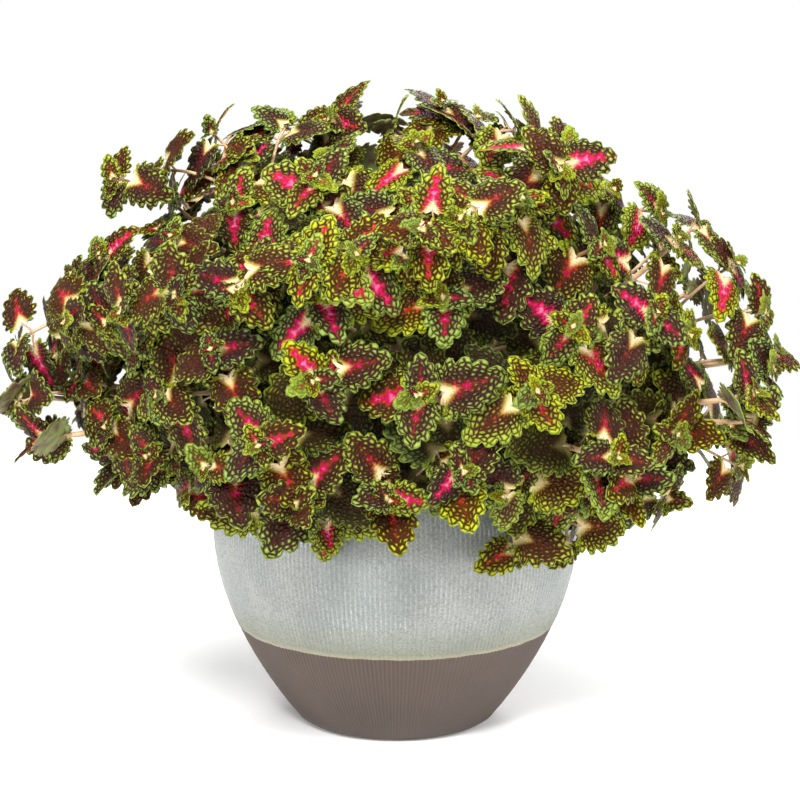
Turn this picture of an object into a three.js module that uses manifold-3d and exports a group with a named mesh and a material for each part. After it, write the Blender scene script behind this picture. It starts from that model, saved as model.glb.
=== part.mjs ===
// A coleus in its pot, in millimetres, with +Z up and the origin at the middle of the pot's underside.
//
// The pot is one thrown stoneware piece with three drain holes. It is filled with potting mix, and the
// leafy stems stand in plain holes in the mix. They fan out of the pot's mouth into a mound that is wider
// than the pot and hangs a little over its rim. Each stem is square, as in all of the mint family, forks
// once, and carries its toothed leaves in pairs, each pair turned a quarter from the one below. A shoot or
// leaf that would touch another stem's is bent clear of it. Nothing here moves.
import * as THREE from 'three';
import { mergeVertices } from 'three/addons/utils/BufferGeometryUtils.js';
import Module from 'manifold-3d';

const wasm = await Module();
wasm.setup();

const rad = THREE.MathUtils.degToRad;
const vec = (x, y, z) => new THREE.Vector3(x, y, z);
const UP = vec(0, 0, 1);

// ---------------------------------------------------------------- pot
const POT_HEIGHT = 262;
const BELLY_Z = 190;
const BELLY_RADIUS = 176;
const FOOT_RADIUS = 93;
const RIM_RADIUS = 158;
const WALL_BEND = 1.85; // the power of the wall's curve, below the belly and above it
const WALL = 10;
const FLOOR = 14;
const FOOT_ROUNDING = 5;
const POT_SIDES = 36;
const WALL_STEPS = 6; // facets up the outside of the wall
const DRAIN_HOLES = 3;
const DRAIN_RADIUS = 8;
const DRAIN_CIRCLE = 42; // radius of the circle that the drain holes lie on
const SEAT_GAP = 0.3; // between pieces that rest on each other

// The outside radius of the pot's wall at height z.
function potRadius(z) {
  const low = z < BELLY_Z;
  const away = low ? (BELLY_Z - z) / BELLY_Z : (z - BELLY_Z) / (POT_HEIGHT - BELLY_Z);
  const end = low ? FOOT_RADIUS : RIM_RADIUS;
  return BELLY_RADIUS - (BELLY_RADIUS - end) * Math.pow(away, WALL_BEND);
}

// Turns a closed geometry into a solid that can be joined and cut.
function solidOf(geometry) {
  const bare = new THREE.BufferGeometry();
  bare.setAttribute('position', geometry.getAttribute('position').clone());
  if (geometry.index) bare.setIndex(geometry.index.clone());
  const merged = mergeVertices(bare, 1e-4);
  return new wasm.Manifold(new wasm.Mesh({
    numProp: 3,
    vertProperties: new Float32Array(merged.getAttribute('position').array),
    triVerts: new Uint32Array(merged.index.array),
  }));
}

function geometryOf(solid) {
  const mesh = solid.getMesh();
  return new THREE.BufferGeometry()
    .setAttribute('position', new THREE.BufferAttribute(mesh.vertProperties, 3))
    .setIndex(new THREE.BufferAttribute(mesh.triVerts, 1));
}

// A body of revolution about Z, from [radius, height] points that run upwards outside the body.
function lathe(points) {
  const profile = points.map(([r, z]) => new THREE.Vector2(r, z));
  const geometry = new THREE.LatheGeometry(profile, POT_SIDES);
  return solidOf(geometry.rotateX(Math.PI / 2));
}

function potSolid() {
  const rounding = WALL / 2;
  const wallFoot = potRadius(FOOT_ROUNDING);
  const outside = [[0, 0], [wallFoot - FOOT_ROUNDING - 2, 0], [wallFoot - 1, FOOT_ROUNDING * 0.4]];
  for (let i = 1; i <= WALL_STEPS; i++) {
    const z = THREE.MathUtils.lerp(FOOT_ROUNDING, POT_HEIGHT - rounding, i / WALL_STEPS);
    outside.push([potRadius(z), z]);
  }
  const rim = [[RIM_RADIUS - rounding, POT_HEIGHT], [RIM_RADIUS - WALL, POT_HEIGHT - rounding]];
  const inside = [BELLY_Z, POT_HEIGHT / 3, FLOOR].map((z) => [potRadius(z) - WALL, z]);
  const body = lathe([...outside, ...rim, ...inside, [0, FLOOR]]);
  const drains = [];
  for (let i = 0; i < DRAIN_HOLES; i++) {
    const turn = (i * 2 * Math.PI) / DRAIN_HOLES;
    const drill = new THREE.CylinderGeometry(DRAIN_RADIUS, DRAIN_RADIUS, 2 * FLOOR, 10);
    drill.rotateX(Math.PI / 2);
    drill.translate(DRAIN_CIRCLE * Math.cos(turn), DRAIN_CIRCLE * Math.sin(turn), FLOOR / 2);
    drains.push(solidOf(drill));
  }
  return body.subtract(wasm.Manifold.union(drains));
}

// ---------------------------------------------------------------- potting mix
const SOIL_EDGE_Z = 238;
const SOIL_TOP_Z = 245; // flat over the roots, with a slope down to the pot's wall
const SOIL_TOP_RADIUS = 128;

// The pot's inside radius at height z, along its straight facets.
function insideRadius(z) {
  const knots = [FLOOR, POT_HEIGHT / 3, BELLY_Z, POT_HEIGHT - WALL / 2];
  const radii = knots.map((knot, i) => (i < 3 ? potRadius(knot) : RIM_RADIUS) - WALL);
  const i = Math.max(0, knots.findIndex((knot) => knot >= z) - 1);
  return THREE.MathUtils.mapLinear(z, knots[i], knots[i + 1], radii[i], radii[i + 1]);
}

function soilSolid(sockets) {
  const wall = [FLOOR + SEAT_GAP, POT_HEIGHT / 3, BELLY_Z, SOIL_EDGE_Z];
  const outside = wall.map((z) => [insideRadius(z) - SEAT_GAP, z]);
  const heap = [[SOIL_TOP_RADIUS, SOIL_TOP_Z], [0, SOIL_TOP_Z]];
  const body = lathe([[0, FLOOR + SEAT_GAP], ...outside, ...heap]);
  return body.subtract(wasm.Manifold.union(sockets));
}

// ---------------------------------------------------------------- the mound and its stems
const EVEN_STEMS = 40; // spread over the mound
const CROWDING = 1.18; // how much closer together the stems are near the top: 1 is evenly
const MOUND_CENTRE_Z = 325;
const MOUND_RADIUS = 312; // to the stems' tips, at the mound's widest
const MOUND_RISE = 252; // from the centre up to the highest tips
const MOUND_FALL = 130; // from the centre down to where the lowest tips would meet
const LOWEST_TIP = 126; // degrees from straight up, round the mound
const REACH_VARIES = 0.08;
const TURN_VARIES = 0.2; // radians
const GOLDEN_TURN = rad(137.508);
// Long sprays that stand out of the mound: degrees round from +X, degrees from straight up, and reach.
const LONG_SPRAYS = [
  [180, 92, 1.17], [170, 76, 1.06], [190, 106, 1.12], [200, 60, 1.04], [2, 84, 1.17],
  [346, 98, 1.1], [14, 70, 1.08], [315, 112, 1.0], [252, 118, 0.98], [60, 88, 1.08],
];
const ROOT_RADIUS = 112; // the circle in the mix that the outermost stems stand on
const ROOT_RINGS = 4;
const STEM_DEPTH = 42; // how far a stem reaches into the mix
const ROOT_RISE = 4; // a stem is straight up to here, above the mix
const STEM_BASE = 3.6; // half the diagonal of the square stem, at the mix
const STEM_TOP = 2.4; // the same at the pair of leaves below the tip
const SIDE_SHOOT = 2.2;
const STEM_TIP = 1.8;
const TIP_SLOPE = 3; // fall of the tip's two faces, which carry its leaves, from their ridge
const NODE_FROM_TIP = 29; // from a shoot's tip down to its lower pair of leaves
const NODE_HEIGHT = 6; // the swollen joint that a pair grows from
const MAIN_RINGS = [0, 0.32, 0.66]; // where the free part of a stem has a ring of its tube
const FORK_AT = 0.55; // where the side shoot leaves, between the last two of those rings

// One stream of numbers from 0 to 1, the same on every run.
let state = 20261;
function random() {
  state = (state * 48271) % 2147483647;
  return state / 2147483647;
}

const varied = (amount) => amount * (2 * random() - 1);

// A point of the mound, and the way its leaves face there.
function moundPoint(turn, fall, reach) {
  const out = vec(Math.cos(turn), Math.sin(turn), 0);
  const rise = Math.cos(fall) > 0 ? MOUND_RISE : MOUND_FALL;
  const at = out.clone().multiplyScalar(MOUND_RADIUS * Math.sin(fall) * reach);
  at.z = MOUND_CENTRE_Z + rise * Math.cos(fall) * reach;
  const facing = out.clone().multiplyScalar(Math.sin(fall) / MOUND_RADIUS);
  facing.z = Math.max(Math.cos(fall) / rise, 0.0004);
  return { at, out, facing: facing.normalize() };
}

// Where each stem stands and where its tip is.
function planStems() {
  const plans = [];
  for (let i = 0; i < EVEN_STEMS; i++) {
    const share = Math.pow((i + 0.5) / EVEN_STEMS, CROWDING);
    const fall = Math.acos(1 - (1 - Math.cos(rad(LOWEST_TIP))) * share);
    plans.push({ turn: i * GOLDEN_TURN + varied(TURN_VARIES), fall, reach: 1 + varied(REACH_VARIES) });
  }
  for (const [turn, fall, reach] of LONG_SPRAYS) plans.push({ turn: rad(turn), fall: rad(fall), reach });
  plans.sort((a, b) => a.fall - b.fall);
  plans.forEach((plan, i) => {
    Object.assign(plan, moundPoint(plan.turn, plan.fall, plan.reach));
    const radius = ROOT_RADIUS * Math.sqrt((i + 0.5) / plans.length);
    const x = radius * Math.cos(i * GOLDEN_TURN);
    const y = radius * Math.sin(i * GOLDEN_TURN);
    plan.spot = { x, y };
  });
  // The spots in the mix go to the tips by direction, so that stems don't pass through each other.
  const perRing = Math.ceil(plans.length / ROOT_RINGS);
  for (let ring = 0; ring < ROOT_RINGS; ring++) {
    const group = plans.slice(ring * perRing, (ring + 1) * perRing);
    const angle = (x, y) => (Math.atan2(y, x) + 2 * Math.PI) % (2 * Math.PI);
    const spots = group.map((p) => p.spot).sort((a, b) => angle(a.x, a.y) - angle(b.x, b.y));
    group.sort((a, b) => angle(a.out.x, a.out.y) - angle(b.out.x, b.out.y));
    group.forEach((plan, i) => { plan.root = vec(spots[i].x, spots[i].y, SOIL_TOP_Z); });
  }
  return plans;
}

// A stem's line above the mix: up out of its hole, then over to its tip, with a bow to one side.
function mainCurve(plan, bow) {
  const radius = Math.hypot(plan.root.x, plan.root.y);
  const lean = plan.out.clone().multiplyScalar((0.32 * radius) / ROOT_RADIUS).add(UP).normalize();
  const start = plan.root.clone().addScaledVector(lean, ROOT_RISE);
  const span = start.distanceTo(plan.at);
  const sag = Math.max(0, -Math.cos(plan.fall));
  const heading = plan.facing.clone().addScaledVector(UP, 0.22 - 1.3 * sag).normalize();
  const aside = plan.out.clone().cross(UP).multiplyScalar(bow);
  const rootPull = start.clone().addScaledVector(lean, Math.max(0.4 * span, 96)).add(aside);
  const tipPull = plan.at.clone().addScaledVector(heading, -0.36 * span).add(aside);
  return { lean, curve: new THREE.CubicBezierCurve3(start, rootPull, tipPull, plan.at) };
}

// A shoot is a chain of square rings along its line, turned so that the square never twists, except that
// its tip is turned an eighth, which sets the tip's leaves square to the pair below.
function shootAlong(points, radii, facing) {
  const rings = points.map((at, i) => {
    const from = points[Math.max(0, i - 1)];
    const to = points[Math.min(points.length - 1, i + 1)];
    return { at, along: to.clone().sub(from).normalize(), radius: radii[i], slope: 0 };
  });
  let across = vec(1, 0, 0).applyAxisAngle(rings[0].along, random() * Math.PI);
  for (const ring of rings) {
    across = across.clone().addScaledVector(ring.along, -across.dot(ring.along)).normalize();
    ring.across = across;
    ring.beside = ring.along.clone().cross(across);
  }
  const tip = rings[rings.length - 1];
  tip.across = across.clone().applyAxisAngle(tip.along, Math.PI / 4);
  tip.beside = tip.along.clone().cross(tip.across);
  tip.slope = TIP_SLOPE;
  return { rings, facing, leaves: [] };
}

// The shares of a curve's length where its node's two rings and its tip are.
function nodeShares(curve) {
  const length = curve.getLength();
  const below = NODE_FROM_TIP + NODE_HEIGHT / 2;
  return [1 - below / length, 1 - (below - NODE_HEIGHT) / length, 1];
}

function mainShoot(plan, bow) {
  const { lean, curve } = mainCurve(plan, bow);
  const shares = [...MAIN_RINGS, ...nodeShares(curve)];
  const points = [plan.root.clone().addScaledVector(lean, -STEM_DEPTH)];
  shares.forEach((u) => points.push(curve.getPointAt(u)));
  const radii = [STEM_BASE, STEM_BASE, 0.9 * STEM_BASE, 0.8 * STEM_BASE, STEM_TOP, STEM_TOP, STEM_TIP];
  return shootAlong(points, radii, plan.facing);
}

// A side shoot from a stem's fork to a point of the mound near the stem's own tip.
function sideShoot(main, { at, facing }) {
  const [low, high] = main.rings.slice(MAIN_RINGS.length - 1);
  const fork = low.at.clone().lerp(high.at, FORK_AT);
  const pull = fork.clone().lerp(at, 0.5).addScaledVector(high.along, 14);
  const curve = new THREE.QuadraticBezierCurve3(fork, pull, at);
  const points = [0, ...nodeShares(curve)].map((u) => curve.getPointAt(u));
  return shootAlong(points, [SIDE_SHOOT, SIDE_SHOOT, SIDE_SHOOT, STEM_TIP], facing);
}

// Points and triangles of a square tube through rings, closed at both ends. The triangles of the side
// after corner c of segment i come at 8 i + 2 c, and the top's two come last.
function tube(rings, grow = 0) {
  const points = [];
  const faces = [];
  rings.forEach((ring, i) => {
    const end = i === 0 ? -grow : 0;
    for (let corner = 0; corner < 4; corner++) {
      const turn = (corner * Math.PI) / 2;
      const radius = ring.radius + grow * Math.SQRT2;
      points.push(ring.at.clone()
        .addScaledVector(ring.across, radius * Math.cos(turn))
        .addScaledVector(ring.beside, radius * Math.sin(turn))
        .addScaledVector(ring.along, end - ring.slope * (corner % 2)));
    }
  });
  for (let i = 0; i + 1 < rings.length; i++) {
    for (let corner = 0; corner < 4; corner++) {
      const a = i * 4 + corner;
      const b = i * 4 + ((corner + 1) % 4);
      faces.push([a, b, b + 4], [a, b + 4, a + 4]);
    }
  }
  const last = points.length - 4;
  faces.push([0, 2, 1], [0, 3, 2], [last, last + 1, last + 2], [last, last + 2, last + 3]);
  return { points, faces };
}

// ---------------------------------------------------------------- leaves
// The pair at a shoot's tip and the larger pair at its node. lift is the blade's angle from square to
// the shoot, and side the face of the shoot that the first leaf grows from.
const TIP_PAIR = {
  length: 49, petiole: 3, lift: 22, petioleLift: 22, droop: 0.1,
  margin: [[0.3, 0.05], [0.42, 0.28], [0.35, 0.44], [0.28, 0.74]],
};
const NODE_PAIR = {
  length: 66, petiole: 19, lift: 6, petioleLift: 40, droop: 0.2,
  margin: [[0.3, -0.04], [0.46, 0.2], [0.39, 0.36], [0.39, 0.56], [0.26, 0.72]],
};
const LEAF_VARIES = 0.13;
const LEAF_THICKNESS = 2; // at the thickest point of the midrib
const PETIOLE_HALF = 1.2;
const PETIOLE_DEPTH = 1.9;
const PETIOLE_SWELL = 1.3; // all round, where it leaves the stem
const FOLD = 0.3; // rise of the margin beside the midrib, as a share of the distance to it
const CURL = 0.2; // fall of the tip, as a share of the length
const RUFFLE = 0.03; // rise of the notches and fall of the teeth
const RIB_MIDDLE = 0.42; // where the blade is thickest, as a share of its length

// The three corners of a petiole's section: left, right and under.
function petioleCorners({ side, up }, at, grow) {
  return [
    at.clone().addScaledVector(side, -PETIOLE_HALF - grow).addScaledVector(up, 0.6 + grow),
    at.clone().addScaledVector(side, PETIOLE_HALF + grow).addScaledVector(up, 0.6 + grow),
    at.clone().addScaledVector(up, -PETIOLE_DEPTH - grow),
  ];
}

// Points and triangles of one blade: two faces that meet in a sharp toothed margin, open where the three
// corners of its petiole's section, which come last, join what carries it.
function blade(leaf, grow = 0) {
  const { base, along, side, up, length, margin } = leaf;
  const place = (x, y, lift) => {
    const bend = FOLD * Math.abs(x) - CURL * y * y + lift;
    return base.clone()
      .addScaledVector(side, x * length)
      .addScaledVector(along, y * length)
      .addScaledVector(up, bend * length);
  };
  const wide = 1 + grow / (0.4 * length);
  const half = (LEAF_THICKNESS / 2 + grow) / length;
  const points = [place(0, RIB_MIDDLE, half), place(0, RIB_MIDDLE, -half)];
  const right = margin.map(([x, y], i) => [x, y, RUFFLE * (i % 2 ? 1 : -1)]);
  const left = right.map(([x, y, lift]) => [-x, y, lift]).reverse();
  for (const [x, y, lift] of [...right, [0, 1, 0], ...left]) {
    points.push(place(x * wide, RIB_MIDDLE + (y - RIB_MIDDLE) * wide, lift));
  }
  const rim = points.slice(2).map((_, i) => i + 2);
  const stalk = points.length;
  points.push(...petioleCorners(leaf, base, grow));
  const above = [stalk + 1, ...rim, stalk];
  const below = [stalk + 2, ...above];
  const faces = [];
  above.forEach((a, i) => faces.push([0, a, above[(i + 1) % above.length]]));
  below.forEach((a, i) => faces.push([1, below[(i + 1) % below.length], a]));
  return { points, faces, stalk };
}

// A blade with a straight petiole, closed at the petiole's end.
function closedLeaf(leaf, from, grow = 0) {
  const { points, faces, stalk } = blade(leaf, grow);
  points.push(...petioleCorners(leaf, from, grow + PETIOLE_SWELL));
  for (let i = 0; i < 3; i++) {
    const a = stalk + i;
    const b = stalk + ((i + 1) % 3);
    faces.push([b, a, a + 3], [b, a + 3, b + 3]);
  }
  faces.push([stalk + 3, stalk + 5, stalk + 4]);
  return { points, faces };
}

// A leaf on a shoot, bent by a nudge. The first of a pair grows to corner 1 of the tip or to side 0 of the
// node, and the second opposite.
function poseLeaf(shoot, pair, second, size, nudge) {
  const tip = shoot.rings[shoot.rings.length - 1];
  const low = shoot.rings[shoot.rings.length - 3];
  const atTip = pair === TIP_PAIR;
  const ring = atTip ? tip : low;
  const stem = ring.along;
  const root = ring.at.clone().addScaledVector(stem, atTip ? -TIP_SLOPE / 2 : NODE_HEIGHT / 2);
  const around = rad((atTip ? 90 : 45) + nudge.yaw) + (second ? Math.PI : 0);
  const sideways = ring.across.clone().multiplyScalar(Math.cos(around))
    .addScaledVector(ring.beside, Math.sin(around));
  const lift = rad(pair.lift + nudge.pitch);
  const along = sideways.clone().multiplyScalar(Math.cos(lift))
    .addScaledVector(stem, Math.sin(lift))
    .addScaledVector(UP, -pair.droop).normalize();
  const up = stem.clone().multiplyScalar(0.4)
    .addScaledVector(shoot.facing, 0.8).addScaledVector(UP, 0.35);
  up.addScaledVector(along, -up.dot(along)).normalize().applyAxisAngle(along, rad(nudge.roll));
  const side = along.clone().cross(up);
  const petioleLift = rad(pair.petioleLift + nudge.pitch / 2);
  const base = root.clone()
    .addScaledVector(sideways, pair.petiole * Math.cos(petioleLift))
    .addScaledVector(stem, pair.petiole * Math.sin(petioleLift));
  return { root, base, along, side, up, atTip, second, length: size * nudge.size, margin: pair.margin };
}

// The shoot's tube with its leaves grown out of it: a tip leaf takes the place of one of the top's two
// triangles, and a node leaf's petiole that of one side of the node.
function leafyShoot(shoot) {
  const { points, faces } = tube(shoot.rings);
  const top = points.length - 4;
  const node = top - 8;
  const grown = [];
  const replaced = new Set();
  for (const leaf of shoot.leaves) {
    const own = blade(leaf);
    const start = points.length;
    let corners = [start + own.stalk, start + own.stalk + 1, start + own.stalk + 2];
    if (leaf.atTip) {
      corners = leaf.second ? [top, top + 2, top + 3] : [top + 2, top, top + 1];
      replaced.add(faces.length - (leaf.second ? 1 : 2));
      own.points.length = own.stalk;
    } else {
      const [left, right, under] = corners;
      const a = node + (leaf.second ? 2 : 0);
      const b = node + (leaf.second ? 3 : 1);
      replaced.add(2 * a).add(2 * a + 1);
      grown.push([a, b, under], [b, b + 4, left], [b, left, under]);
      grown.push([b + 4, a + 4, right], [b + 4, right, left], [a + 4, a, under], [a + 4, under, right]);
    }
    points.push(...own.points);
    const joined = (i) => (i < own.stalk ? start + i : corners[i - own.stalk]);
    own.faces.forEach((face) => grown.push(face.map(joined)));
  }
  return { points, faces: [...faces.filter((_, i) => !replaced.has(i)), ...grown] };
}

// ---------------------------------------------------------------- keeping stems clear of each other
const CLEARANCE = 1.1; // between leaves of two stems
const POT_CLEARANCE = 4;
const OWN_STEM = 0.3; // the share of a petiole that may meet its own stem
const NUDGES = [];
for (const size of [1, 0.9, 0.8])
  for (const pitch of [0, 13, -13, 26, -26, 39])
    for (const yaw of [0, 16, -16, 32, -32])
      for (const roll of [0, 18, -18, 36, -36])
        NUDGES.push({ size, pitch, yaw, roll, cost:
          Math.abs(pitch) / 13 + Math.abs(yaw) / 16 + Math.abs(roll) / 18 + (1 - size) * 18 });
NUDGES.sort((a, b) => a.cost - b.cost);

// A shape made ready for testing: its box, triangles and edges.
function outlined(shape, stem) {
  const box = new THREE.Box3().setFromPoints(shape.points);
  const triangles = shape.faces.map((f) => f.map((i) => shape.points[i]));
  const edges = [];
  for (const f of shape.faces)
    for (let i = 0; i < 3; i++)
      if (f[i] < f[(i + 1) % 3]) edges.push([shape.points[f[i]], shape.points[f[(i + 1) % 3]]]);
  return { box, triangles, edges, stem };
}

const legA = vec(0, 0, 0);
const legB = vec(0, 0, 0);
const line = vec(0, 0, 0);
const normal = vec(0, 0, 0);
const offset = vec(0, 0, 0);

// True if the edge from p to q passes through triangle a, b, c.
function pierces([p, q], [a, b, c]) {
  legA.subVectors(b, a);
  legB.subVectors(c, a);
  line.subVectors(q, p);
  normal.crossVectors(line, legB);
  const depth = legA.dot(normal);
  if (Math.abs(depth) < 1e-9) return false;
  offset.subVectors(p, a);
  const u = offset.dot(normal) / depth;
  if (u < 0 || u > 1) return false;
  offset.cross(legA);
  const v = line.dot(offset) / depth;
  if (v < 0 || u + v > 1) return false;
  const t = legB.dot(offset) / depth;
  return t >= 0 && t <= 1;
}

function cross(a, b) {
  if (!a.box.intersectsBox(b.box)) return false;
  return a.edges.some((e) => b.triangles.some((t) => pierces(e, t)))
    || b.edges.some((e) => a.triangles.some((t) => pierces(e, t)));
}

function clearOfPot(points) {
  return points.every((p) => p.z > POT_HEIGHT + POT_CLEARANCE
    || Math.hypot(p.x, p.y) > potRadius(p.z) + POT_CLEARANCE);
}

// ---------------------------------------------------------------- growing the plant
const BOWS = [0, 12, -12, 24, -24, 36, -36, 48, -48, 60, -60];
const SIDE_REACH = [70, 125]; // from a stem's tip to its side shoot's tip
const SIDE_TRIES = 40;
const SIDE_TURNS = 5; // times that the tries go round the stem's tip
const SIDE_DEPTH = 0.92; // how far out the side tips lie, as a share of the mound
const NEAREST_TIP = 50;
const SIDE_CLEARANCE = 3;

const stems = [];
const tubes = [];
const tips = [];
const leaves = [];

// Each stem takes the straightest line that passes the stems before it.
for (const plan of planStems()) {
  for (const bow of BOWS) {
    const shoot = mainShoot(plan, bow);
    const test = outlined(tube(shoot.rings, SIDE_CLEARANCE), stems.length);
    if (tubes.some((other) => cross(test, other))) continue;
    tubes.push(outlined(tube(shoot.rings), stems.length));
    stems.push({ plan, shoots: [shoot] });
    tips.push(plan.at);
    break;
  }
}

// Each stem's side shoot goes where its tip has the most room.
stems.forEach((stem, number) => {
  let best = null;
  for (let i = 0; i < SIDE_TRIES; i++) {
    const around = (i / SIDE_TRIES) * 2 * Math.PI * SIDE_TURNS;
    const reach = THREE.MathUtils.lerp(...SIDE_REACH, i / SIDE_TRIES) / MOUND_RADIUS;
    const fall = stem.plan.fall + reach * Math.cos(around);
    const turn = stem.plan.turn + (reach * Math.sin(around)) / Math.max(Math.sin(stem.plan.fall), 0.3);
    const shoot = sideShoot(stem.shoots[0], moundPoint(turn, fall, SIDE_DEPTH));
    if (fall > rad(LOWEST_TIP) || fall < 0) continue;
    const at = shoot.rings[shoot.rings.length - 1].at;
    const room = Math.min(...tips.map((tip) => tip.distanceTo(at)));
    if (room < NEAREST_TIP || (best && room <= best.room)) continue;
    const shape = tube(shoot.rings, SIDE_CLEARANCE);
    const test = outlined(shape, number);
    if (!clearOfPot(shape.points)) continue;
    if (tubes.some((other) => other.stem !== number && cross(test, other))) continue;
    best = { shoot, room, at };
  }
  if (!best) return;
  stem.shoots.push(best.shoot);
  tips.push(best.at);
  tubes.push(outlined(tube(best.shoot.rings), number));
});

// A leaf is tested against its own stem without the stretch of its petiole that meets it.
function tryLeaf(leaf, number) {
  const start = leaf.atTip ? leaf.base : leaf.root.clone().lerp(leaf.base, OWN_STEM);
  const grown = closedLeaf(leaf, leaf.root, CLEARANCE);
  if (!clearOfPot(grown.points)) return false;
  const whole = outlined(grown, number);
  const trimmed = outlined(closedLeaf(leaf, start, CLEARANCE), number);
  if (tubes.some((other) => cross(other.stem === number ? trimmed : whole, other))) return false;
  const met = (other) => (other.whole.stem === number
    ? cross(trimmed, other.trimmed)
    : cross(whole, other.whole));
  if (leaves.some(met)) return false;
  leaves.push({
    whole: outlined(closedLeaf(leaf, leaf.root), number),
    trimmed: outlined(closedLeaf(leaf, start), number),
  });
  return true;
}

// The tip pairs of all shoots grow first and the lower pairs last, into the room that is left.
for (const pair of [TIP_PAIR, NODE_PAIR]) {
  stems.forEach((stem, number) => {
    for (const shoot of stem.shoots) {
      for (const second of [false, true]) {
        const size = pair.length * (1 + varied(LEAF_VARIES));
        for (const nudge of NUDGES) {
          const leaf = poseLeaf(shoot, pair, second, size, nudge);
          if (!tryLeaf(leaf, number)) continue;
          shoot.leaves.push(leaf);
          break;
        }
      }
    }
  });
}

function shapeSolid({ points, faces }) {
  const geometry = new THREE.BufferGeometry().setFromPoints(points).setIndex(faces.flat());
  return solidOf(geometry);
}

const stemSolids = stems.map((stem) => wasm.Manifold.union(
  stem.shoots.map((shoot) => shapeSolid(leafyShoot(shoot))),
));
const sockets = stems.map((stem) => {
  const hole = stem.shoots[0].rings.slice(0, 2).map((ring) => ({ ...ring }));
  hole[1].at = hole[1].at.clone().addScaledVector(hole[0].along, 12);
  return shapeSolid(tube(hole, SEAT_GAP));
});

// ---------------------------------------------------------------- the finished object
const plant = new THREE.Group();

function add(name, solid, color, roughness) {
  const material = new THREE.MeshStandardMaterial({ color, roughness, metalness: 0, flatShading: true });
  const mesh = new THREE.Mesh(geometryOf(solid), material);
  mesh.name = name;
  plant.add(mesh);
}

add('pot', potSolid(), 0xb4bcb9, 0.25);
add('potting_mix', soilSolid(sockets), 0x2e221a, 0.95);
stemSolids.forEach((solid, i) => {
  add(`leafy_stem_${String(i + 1).padStart(2, '0')}`, solid, 0x4b3a22, 0.6);
});

export default plant;
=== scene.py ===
import math
import random
from functools import partial
from types import SimpleNamespace

import bmesh
import bpy
from mathutils import Matrix, Vector, kdtree, noise


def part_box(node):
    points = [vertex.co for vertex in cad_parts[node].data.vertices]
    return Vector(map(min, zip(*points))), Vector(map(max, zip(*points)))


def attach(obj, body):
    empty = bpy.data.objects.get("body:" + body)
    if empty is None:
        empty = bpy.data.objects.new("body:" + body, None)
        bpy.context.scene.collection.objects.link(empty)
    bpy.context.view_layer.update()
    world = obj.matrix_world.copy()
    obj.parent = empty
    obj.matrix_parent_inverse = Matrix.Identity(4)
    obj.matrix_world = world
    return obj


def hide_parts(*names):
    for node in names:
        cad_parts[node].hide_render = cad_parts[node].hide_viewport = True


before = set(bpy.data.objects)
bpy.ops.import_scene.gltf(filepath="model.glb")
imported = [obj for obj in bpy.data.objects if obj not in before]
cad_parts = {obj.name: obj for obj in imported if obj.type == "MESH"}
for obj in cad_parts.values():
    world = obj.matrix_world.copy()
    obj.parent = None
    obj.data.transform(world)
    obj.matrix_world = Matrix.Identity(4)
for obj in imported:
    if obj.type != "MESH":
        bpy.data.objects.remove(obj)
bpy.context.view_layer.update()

# ------ pot
# The pot is one piece of stoneware, thrown on a wheel and combed with fine upright ribs while it was soft.
# It was dipped mouth down in a pale blue-grey glaze, which ends in a level edge with bare brown clay below.
MM = 0.001
POT_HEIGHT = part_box("pot")[1].z
BELLY_HEIGHT = 190 * MM
BELLY_RADIUS = 176 * MM
FOOT_RADIUS = 93 * MM
RIM_RADIUS = 158 * MM
WALL_BEND = 1.85
WALL = 10 * MM
WALL_ROWS = 20
RIM_STEPS = 6
POT_FLOOR = 14 * MM
KNEE_HEIGHT = 87 * MM  # where the inside bends in towards the floor
FOOT_EDGE = [(FOOT_RADIUS - 7 * MM, 0), (FOOT_RADIUS - 2 * MM, 1.2 * MM)]
FOOT_ROUNDING = 5 * MM
GLAZE_EDGE = 97 * MM
GLAZE_THICKNESS = 0.6 * MM
EDGE_WANDER = 0.9 * MM
WANDER_WAVES = 8
RIBS = 240
RIB_STEPS = 4
RIB_DEPTH = 0.4 * MM
RIB_FADE = 5 * MM  # the height over which the ribs fade out at the foot and below the plain rim
PLAIN_RIM = 12 * MM
SKIN = 2 * MM  # corners this near the outside belong to it


def linear(hex_colour):
    channels = [int(hex_colour[i:i + 2], 16) / 255 for i in (1, 3, 5)]
    return [c / 12.92 if c <= 0.04045 else ((c + 0.055) / 1.055) ** 2.4 for c in channels] + [1]


def fill_inputs(node, inputs):
    """Links each input to a socket or to a node's first output in use, or sets it to a colour or a value."""
    for key, source in inputs.items():
        if isinstance(source, bpy.types.Node):
            source = next(socket for socket in source.outputs if socket.enabled)
        if isinstance(source, bpy.types.NodeSocket):
            node.id_data.links.new(source, node.inputs[key])
        else:
            node.inputs[key].default_value = linear(source) if isinstance(source, str) else source


def add_node(nodes, kind, *inputs, stops=(), **settings):
    """Adds a node. Its inputs in use are filled in their order or by name, and its properties by name.

    The stops of a colour ramp are pairs of a position and a colour.
    """
    node = nodes.new("ShaderNode" + kind)
    named = {}
    for name, value in settings.items():
        if hasattr(node, name):
            setattr(node, name, value)
        else:
            named[name] = value
    in_use = [i for i, socket in enumerate(node.inputs) if socket.enabled]
    fill_inputs(node, named | dict(zip(in_use, inputs)))
    if stops:
        ramp = node.color_ramp.elements
        for position, colour in stops:
            ramp.new(position).color = linear(colour)
        ramp.remove(ramp[0])
        ramp.remove(ramp[-1])
    return node


def new_material(name):
    """A bare material, with add_node for its nodes, its shader and the place that patterns are read at."""
    material = bpy.data.materials.new(name)
    material.use_nodes = True
    nodes = material.node_tree.nodes
    add = partial(add_node, nodes)
    return material, add, nodes["Principled BSDF"], add("TexCoord").outputs["Object"]


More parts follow.
